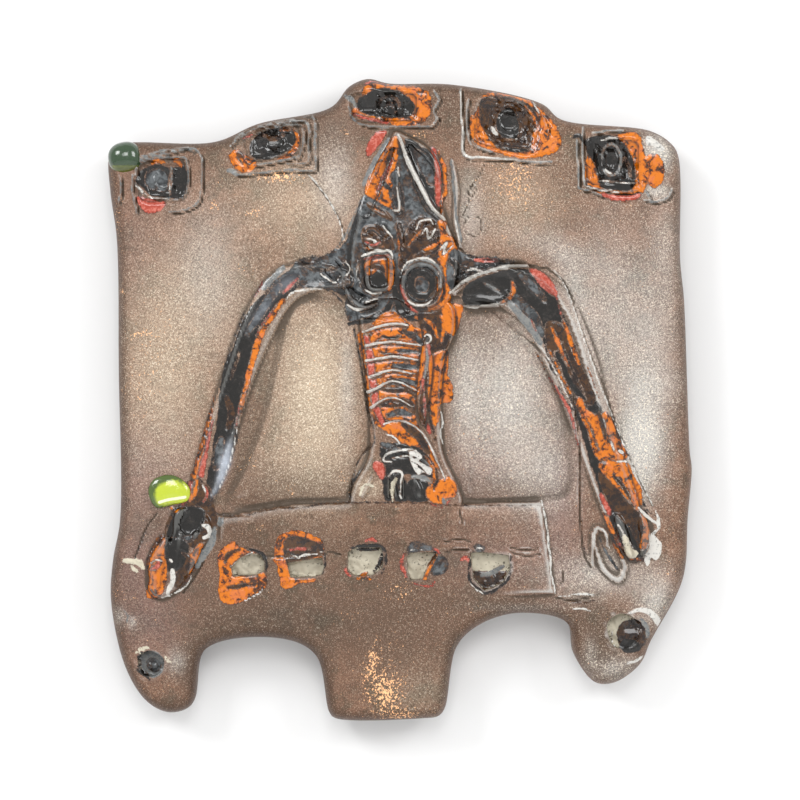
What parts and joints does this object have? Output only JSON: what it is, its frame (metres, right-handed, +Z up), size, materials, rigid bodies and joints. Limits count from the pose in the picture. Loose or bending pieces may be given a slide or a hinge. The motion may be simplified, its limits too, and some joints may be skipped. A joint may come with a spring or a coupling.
{
  "type": "ceramic wall sculpture",
  "caption": "Thick glazed ceramic wall slab with a standing hooded figure in relief, stamped squares along its top and a tail between two arched notches.",
  "frame": {"origin": "middle of the flat back face, which lies against the wall", "axes": "+X to the viewer's right, +Z up, +Y into the wall, so the carved front faces -Y"},
  "size_m": [0.2727, 0.0248, 0.2999],
  "materials": {
    "lustre_glaze": "semi-matte brown lustre glaze with copper flecks, and pools of glossy orange, red and black glaze",
    "yellow_green_glass": "opaque glossy yellow-green glass",
    "dark_green_glass": "opaque glossy dark green glass"
  },
  "bodies": {
    "root": {"ceramic_slab": "lustre_glaze", "yellow_green_glass_drop": "yellow_green_glass", "dark_green_glass_drop": "dark_green_glass"}
  },
  "joints": []
}
